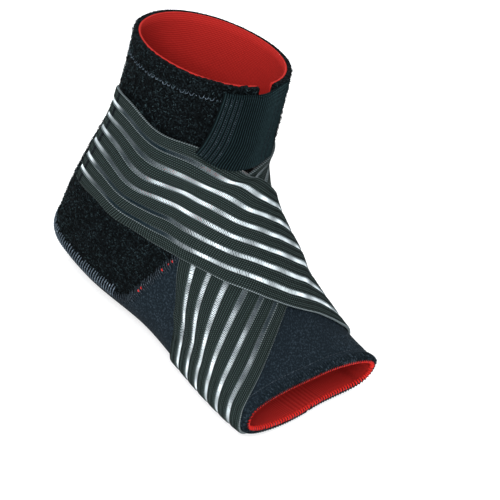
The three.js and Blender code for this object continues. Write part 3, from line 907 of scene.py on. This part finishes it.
# Painted highlight of each stripe: its brightness at distances from the free end in millimetres, top stripe
# first
PAINTED_SHINE_AT = (0, 8, 14, 30, 42, 50, 60, 70, 80, 110, 230, 300, 335, 350, 360, 370, 385, 519)
PAINTED_SHINE_TABLE = np.array([
    [0.95, 0.75, 0.25, 0.12, 0.12, 0.15, 0.35, 0.8, 0.95, 0.9, 0.8, 0.9, 0.95, 0.95, 0.95, 0.95, 0.6, 0.5],
    [0.95, 0.8, 0.35, 0.25, 0.3, 0.6, 0.95, 1.0, 1.0, 0.9, 0.8, 0.9, 0.95, 0.95, 0.85, 0.7, 0.5, 0.5],
    [0.95, 0.8, 0.35, 0.3, 0.5, 0.95, 1.0, 1.0, 1.0, 0.9, 0.8, 0.9, 0.95, 0.95, 0.8, 0.6, 0.5, 0.5],
    [0.95, 0.8, 0.35, 0.3, 0.45, 0.95, 1.0, 1.0, 0.95, 0.95, 0.8, 0.9, 0.95, 0.75, 0.5, 0.35, 0.3, 0.5],
    [0.95, 0.75, 0.3, 0.12, 0.1, 0.1, 0.12, 0.5, 0.95, 0.95, 0.8, 0.9, 0.9, 0.65, 0.4, 0.25, 0.2, 0.5],
    [0.95, 0.85, 0.5, 0.1, 0.08, 0.08, 0.12, 0.5, 0.95, 0.95, 0.8, 0.85, 0.6, 0.4, 0.25, 0.15, 0.15, 0.5],
])


def even_distances(share, pitch, fine=8000):
    """Distances along the strap whose points lie at an even pitch on the line of one share."""
    distance = np.linspace(OPEN_START, STRAP_LENGTH - OPEN_START, fine)
    points = strap_points(distance, np.full(fine, share), FILAMENT_HEIGHT)
    path = run_along(points)
    return np.interp(np.arange(0, path[-1], pitch), path, distance)


paths, painted_shine = [], []
for k in range(BAND_COUNT - 1):
    start = (k + 1) * BAND_WIDTH + k * STRIPE_WIDTH - FILAMENT_GRIP
    spread = np.linspace(0, STRIPE_WIDTH + 2 * FILAMENT_GRIP, 4)
    distances = even_distances((start + spread[-1] / 2) / STRAP_WIDTH, FILAMENT_PITCH)
    d, s = np.meshgrid(distances, spread, indexing="ij")
    lean = np.where(np.arange(len(d)) % 2, 1, -1)[:, None]
    swing = 0.1 * np.sin(d * 7.3 + k) + 0.07 * (s - 1.5) * lean
    points = strap_points((d + swing).ravel(), ((start + s) / STRAP_WIDTH).ravel(), FILAMENT_HEIGHT)
    paths.append(points.reshape(len(distances), 4, 3))
    # Each thread's painted highlight: the stripe's brightness at its place along the strap
    level = np.interp(distances, PAINTED_SHINE_AT, PAINTED_SHINE_TABLE[k])
    uneven = np.sin(distances * 0.35 + k * 2.1) * np.sin(distances * 0.11 + k)
    painted_shine.append(level * (0.85 + 0.25 * uneven))
threads = swept_threads("strap_filament", np.vstack(paths), FILAMENT_RADIUS, cuts=2, sides=4)
give_tones(threads, np.concatenate(painted_shine) ** 2, (0.004, 0.014, 0.02), (0.88, 0.96, 0.99))
finish_piece(threads, filament)

# %% [markdown]
# Two pads of hook fastener hold the free ends down. Each is a thin felt with rows of tiny hooks,
# so a flat grid with a coarse weave is laid on the plush, under the strap and under the tab.


# %% Pads and tab helpers
def laid_patch(name, columns, rows, place, clearance, thickness, relief=None):
    """A patch laid over what is there: place(x, y) gives stations and angles."""
    mesh = to_mesh(flat_grid(columns, rows), name)
    flat = coordinates(mesh)
    u, angle = place(flat[:, 0], flat[:, 1])
    height = resting(u, angle, clearance) + thickness
    if relief is not None:
        height = height + relief(flat[:, 0], flat[:, 1])
    set_coordinates(mesh, raised(u, angle, height))
    return mesh


# Closure tab: topAngle, topU, bottomAngle, bottomU, from its sewn edge to its free edge
TAB = np.array([
    [80, 10.44, 88, 8.15], [88, 10.43, 96, 8.1], [97, 10.4, 104, 8.05], [106, 10.37, 112, 8.0],
    [115, 10.36, 121, 8.0], [123, 10.36, 130, 8.15], [131, 10.36, 139, 8.35], [139, 10.36, 147, 8.6],
])
TAB_SPAN, TAB_LENGTH, TAB_HEIGHT, TAB_RIB = len(TAB) - 1, 45, 42, 1.3
# The tab's pad: columns back from the free edge, and shares of the height
PAD_FROM_END, PAD_SHARES = (2.6, 0.35), (0.3, 0.91)


def tab_place(column, share):
    """Station and angle of the tab, share 0 at its lower edge."""
    top_angle, top_u, low_angle, low_u = spline(TAB, column).T
    return mix(low_u, top_u, share), mix(low_angle, top_angle, share)


def closure_hook_place(x, y):
    return tab_place(TAB_SPAN - mix(*PAD_FROM_END, x), mix(*PAD_SHARES, y))


def hook_pad(name, grid, place, size, replaced):
    """A pad of hook fastener laid on what is there."""
    mesh = laid_patch(name, *grid, place, STRAP_CLEAR - 0.2, HOOK_THICK)
    scale_uv(mesh, *size)
    finish_piece(mesh, hook_felt, [replaced], HOOK_THICK)


# The strap's pad lies on the wall alone, so the record of layers is put aside for it
saved_layers = laid_points, laid_heights
laid_points, laid_heights = np.zeros((0, 3)), np.zeros(0)
hook_pad("strap_hook_pad_felt", (40, 60), strap_hook_place, (HOOK_LENGTH, STRAP_WIDTH), "strap_hook_pad")
laid_points, laid_heights = saved_layers
hook_pad("closure_hook_pad_felt", (40, 50), closure_hook_place, (20, 30), "closure_hook_pad")
lay(*closure_hook_place(*pairs(np.linspace(0, 1, 10), np.linspace(0, 1, 8))), HOOK_THICK)

# %% [markdown]
# The closure tab is a ribbed elastic. Its ribs run up the cuff, so each second column of the grid
# stands a little proud. Two seams hold it at the inner side and four rows of stitches at the free end.


# %% Closure tab
TAB_SEAMS, TAB_END_ROWS = (0.95, 1.58), (5.45, 5.85, 6.25, 6.65)
TAB_COLUMNS, RIB_DEPTH = 2 * int(TAB_LENGTH / TAB_RIB), 0.36


def tab_relief(x, y):
    rib = np.where(np.rint(x * TAB_COLUMNS) % 2 == 0, RIB_DEPTH, -RIB_DEPTH)
    sewn = sum(np.exp(-((x * TAB_SPAN - seam) / 0.08) ** 2) for seam in TAB_SEAMS)
    edge = np.minimum(np.minimum(x, 1 - x) * TAB_LENGTH, np.minimum(y, 1 - y) * TAB_HEIGHT)
    return rib - 0.6 * sewn - 0.5 * np.exp(-edge / 0.5)


tab = laid_patch("closure_tab_ribbed", TAB_COLUMNS, 56,
                 lambda x, y: tab_place(x * TAB_SPAN, y), LAYER_GAP, TAB_THICK, tab_relief)
scale_uv(tab, TAB_LENGTH, TAB_HEIGHT)
tab_piece = finish_piece(tab, tab_weave, ["closure_tab"], TAB_THICK)


# %% [markdown]
# Every seam is sewn with real thread. A stitch is a short tube whose path is given in three
# numbers a point (sideways, ahead and up), and it is repeated along a line on the form.


# %% Stitch helpers
def stepped(u, angle, vector):
    """Station and angle reached by a short step along the form, in millimetres."""
    along_u, along_angle = slopes(u, angle)
    uu, ua = (along_u ** 2).sum(1), (along_u * along_angle).sum(1)
    aa = (along_angle ** 2).sum(1)
    vu, va = (vector * along_u).sum(1), (vector * along_angle).sum(1)
    area = uu * aa - ua ** 2
    return u + (vu * aa - va * ua) / area, angle + (va * uu - vu * ua) / area


def evenly(line, pitch):
    """Stations and angles at an even real pitch along a line of the form."""
    fine = spline(line, np.linspace(0, len(line) - 1, len(line) * 16))
    points = raised(fine[:, 0], fine[:, 1], WALL)
    path = run_along(points)
    count = max(int(path[-1] / pitch), 2)
    at = (np.arange(count) + 0.5) * path[-1] / count
    return np.interp(at, path, fine[:, 0]), np.interp(at, path, fine[:, 1])


def stitch_paths(line, pitch, profile, base=None, uneven=0.0):
    """Paths of stitches along a line; profile rows are sideways, ahead and up in millimetres."""
    u, angle = evenly(line, pitch)
    normal = outward(u, angle)
    tangent = unit(np.gradient(raised(u, angle, WALL), axis=0))
    side = np.cross(normal, tangent)
    k = np.arange(len(u))
    sway = 1 + uneven * np.sin(k * 2.4) * np.sin(k * 0.9 + 1)
    rows = []
    for sideways, ahead, up in profile:
        step = side * (sideways * sway)[:, None] + tangent * (ahead * sway)[:, None]
        at_u, at_angle = stepped(u, angle, step)
        under = WALL if base is None else base(at_u, at_angle)
        rows.append(raised(at_u, at_angle, under + up))
    return np.stack(rows, 1)


def sew_paths(name, paths, radius, colour, taper=0.3):
    """Makes stitches of given paths as one piece."""
    mesh = swept_threads(name, paths, radius, cuts=paths.shape[1] - 2, taper=taper)
    finish_piece(mesh, thread[colour])


def sew(name, line, pitch, profile, radius, colour, uneven=0.0, base=None, taper=0.3):
    """Sews one seam: the same stitch all along a line."""
    sew_paths(name, stitch_paths(line, pitch, profile, base, uneven), radius, colour, taper)


def tab_face(u, angle):
    return resting(u, angle, LAYER_GAP) + TAB_THICK


# %% [markdown]
# The plush is overlocked to the smooth sleeve all round the heel. The loops lie slanted across
# the seam; where the seam turns under the heel they are longer and stand nearly square to it.

# %% Heel seam
side_loop = [(-2.5, -0.8, 0.3), (-1.3, -0.4, 0.85), (0.3, 0.1, 1.05), (1.5, 0.5, 0.7), (2.4, 0.9, 0.0)]
heel_loop = [(-6.2, -0.3, 0.6), (-4.2, -0.2, 1.15), (-1.8, 0.0, 1.35), (0.5, 0.1, 1.05), (1.7, 0.2, 0.1)]
turn_at = 8
for side, line in (("outer", heel_seam[:turn_at]), ("inner", heel_seam[-turn_at:])):
    sew(f"side_overlock_{side}", line, 1.5, side_loop, 0.27, "slate", 0.35)
sew("heel_overlock", heel_seam[turn_at - 1:1 - turn_at], 1.7, heel_loop, 0.34, "grey", 0.2)
edge_chain = [(-0.3, -1.1, 0.3), (0.2, -0.4, 0.8), (0.2, 0.4, 0.8), (-0.3, 1.1, 0.3)]
sew("heel_edge_chain", heel_seam, 1.9, edge_chain, 0.42, "black")

# Red lining thread shows through the seam in a few places
red_nub, shown = [(-0.5, -0.3, 0.6), (0.1, 0.0, 1.05), (0.6, 0.3, 0.6)], [8, 9, 11, 18, 19]
nubs = stitch_paths(heel_seam[:turn_at], 2.6, red_nub)[shown]
sew_paths("lining_thread_nubs", nubs, 0.42, "red")

# %% [markdown]
# The toe rim is overlocked with the lining's red thread. Its loops bulge over the edge, and a
# dark thread is whipped over it between them. The hem there is sewn down 7 mm in. The cuff's hem
# is a row of uneven loops about 10 mm below its rim.

# %% Rims and hems
turns = np.arange(0, 361, 12.0)
toe_line = np.stack([toe_station(turns), turns], 1)
rim_loop = [
    (-0.4, 0.2, -2.0), (0.2, 0.1, -2.2), (0.5, 0.0, -2.6),
    (0.5, 0.0, -3.1), (0.1, -0.1, -3.6), (-1.2, -0.2, -3.75),
]
sew("toe_rim_overlock", toe_line, 2.0, rim_loop, 0.45, "red", 0.3, taper=0.0)


def dash(sunk):
    """A plain straight stitch, sunk by some millimetres."""
    return [(0, -0.8, -0.1 - sunk), (0, -0.3, 0.2 - sunk), (0, 0.3, 0.2 - sunk), (0, 0.8, -0.1 - sunk)]


hem_line = np.stack(stepped(*toe_line.T, unit(slopes(*toe_line.T)[0]) * HEM_WIDTH), 1)
sew("toe_hem_stitches", hem_line, 2.3, dash(0.45), 0.24, "slate")
rim_whip = [
    (-4.4, 1.5, 0.0), (-2.9, 1.35, 0.3), (-1.2, 1.1, 0.35), (0.3, 1.0, 0.0),
    (0.5, 1.0, -1.5), (0.6, 1.0, -2.9), (-0.1, 1.0, -3.7),
]
sew("toe_hem_overlock", toe_line, 2.0, rim_whip, 0.3, "whip")
CUFF_HEM_LEVEL, cuff_columns = 2.87, np.linspace(0.2, PANEL_SPAN - 0.2, 60)
cuff_line = np.stack(panel_place(cuff_columns, np.full_like(cuff_columns, CUFF_HEM_LEVEL)), 1)
cuff_loop = [(-0.7, -0.9, 0.1), (0.3, -0.5, 0.65), (0.6, 0.2, 0.7), (-0.1, 0.9, 0.15)]
sew("cuff_hem_stitches", cuff_line, 2.6, cuff_loop, 0.2, "grey", 0.9)

# %% [markdown]
# The tab's seams are sunk lines of dark stitches. At its free end four rows of short ticks hold
# the hook pad behind it. Three rows cross all the strap's bands, near its two ends.


# %% Tab and strap stitches
def tab_line(column, margin):
    """A line up the tab at one column, from a margin to the same margin, as shares."""
    return np.stack(tab_place(np.full(12, column), np.linspace(margin, 1 - margin, 12)), 1)


for k, seam in enumerate(TAB_SEAMS):
    line = tab_line(seam, 0.03)
    sew(f"tab_seam_{k + 1}", line, 2.0, dash(0.25), 0.28, "black", base=tab_face)
tick = [(-0.45, -0.2, 0.0), (-0.1, -0.05, 0.22), (0.1, 0.05, 0.22), (0.45, 0.2, 0.0)]
rows = [stitch_paths(tab_line(column, 0.04), 1.1, tick, tab_face) for column in TAB_END_ROWS]
sew_paths("tab_end_stitches", np.vstack(rows), 0.2, "slate")


def strap_row(distance, pitch=1.5, half=0.55):
    """A line of stitches across all the bands, at a distance from the free end."""
    centres = []
    for k in range(BAND_COUNT):
        first = k * (BAND_WIDTH + STRIPE_WIDTH)
        centres.extend(np.arange(first + 0.9, first + BAND_WIDTH - 0.5, pitch))
    centres = np.array(centres)
    rows = []
    for shift, up in ((-half, -0.05), (-half / 2, 0.22), (half / 2, 0.22), (half, -0.05)):
        share = (centres + shift) / STRAP_WIDTH
        rows.append(strap_points(np.full(len(share), float(distance)), share, STRAP_THICK + up))
    return np.stack(rows, 1)


rows = [strap_row(distance) for distance in (6.5, 7.4, STRAP_LENGTH - 6)]
sew_paths("strap_end_stitches", np.vstack(rows), 0.3, "black")

# %% [markdown]
# The plush's pile is made of thousands of tiny curls. They are short bent threads that stand on
# the panel's own faces, picked with a fixed seed, so the outline is soft and the light catches tips.

# %% Pile curls
draw = np.random.default_rng(7)
CURL_COUNT, CURL_RADIUS = 8000, 0.13


def curls(name, centres, normals):
    count = len(centres)
    sway = draw.normal(size=(count, 3))
    way = unit(np.cross(normals, sway))
    cross = np.cross(normals, way)
    size = draw.uniform(0.5, 0.95, (count, 1))
    bend = draw.normal(size=(count, 1)) * 0.35
    paths = np.stack([
        centres - way * size * 0.6 - normals * 0.15,
        centres - way * size * 0.35 + normals * size * 0.55 + cross * bend,
        centres + way * size * 0.4 + normals * size * 0.6 - cross * bend,
        centres + way * size * 0.6 - normals * 0.1,
    ], 1)
    mesh = swept_threads(name, paths, CURL_RADIUS, cuts=2, sides=3)
    give_tones(mesh, draw.uniform(0, 1, count) ** 4, (0.0006, 0.001, 0.0012), (0.042, 0.07, 0.078))
    finish_piece(mesh, curl_thread)


curl_thread = toned("pile_curls", 0.9, 0.05)
face_source = panel_mesh("curl_ground", *FINE_PANEL, WALL, PILE_DEPTH)
centres = np.array([p.center for p in face_source.polygons]) / MM
normals = np.array([p.normal for p in face_source.polygons])
areas = np.array([p.area for p in face_source.polygons])
bpy.data.meshes.remove(face_source)
picked = draw.choice(len(centres), size=2 * CURL_COUNT, replace=False, p=areas / areas.sum())
jitter = draw.uniform(-0.35, 0.35, (len(picked), 3))
for k, part in enumerate(np.array_split(picked, 2)):
    curls(f"pile_curls_{k + 1}", centres[part] + jitter[k * CURL_COUNT:(k + 1) * CURL_COUNT], normals[part])

# %% [markdown]
# Each cloth's flat size is listed with it: its sides are the longest lines each way, measured
# on the stretched cloth. The tab's ribs add to its face, so its area is taken from its sides. The
# strap's width is its named one.


def longest(place_on, lines, height):
    """Longest of several lines on the form, in metres; place_on(line, share) gives its places."""
    share = np.linspace(0, 1, 240)
    found = [raised(*place_on(np.full_like(share, line), share), height) for line in lines]
    return max(np.linalg.norm(np.diff(points, axis=0), axis=1).sum() for points in found) * MM


def panel_cut(height):
    round_it = longest(lambda line, share: panel_place(share * PANEL_SPAN, line), (2, 2.5, 3), height)
    columns = range(LOWER_START, LOWER_END + 1)
    up_it = longest(lambda line, share: panel_place(line, share * 3), columns, height)
    return round_it, up_it


def sleeve_cut(height):
    round_it = longest(lambda line, share: sleeve_place(share, line), (0, 0.5, 1), height)
    along_it = longest(sleeve_place, np.linspace(0, 1, 25), height)
    return round_it, along_it


tab_height = WALL + STRAP_CLEAR + HOOK_THICK + TAB_THICK
tab_cut = (longest(lambda line, share: tab_place(share * TAB_SPAN, line), (0, 0.5, 1), tab_height),
           longest(tab_place, range(len(TAB)), tab_height))
CUTS = (
    (panel_piece, panel_cut(WALL), ["ankle_lining_red"]),
    (lining_piece, panel_cut(LINING), ["foot_lining_red"]),
    (sleeve_piece, sleeve_cut(WALL), ["foot_lining_red"]),
    (inner_piece, sleeve_cut(LINING), ["ankle_lining_red"]),
    (bands_piece, (STRAP_LENGTH * MM, STRAP_WIDTH * MM), ["ankle_panel_plush", "foot_sleeve_neoprene"]),
    (tab_piece, tab_cut, ["ankle_panel_plush"]),
)
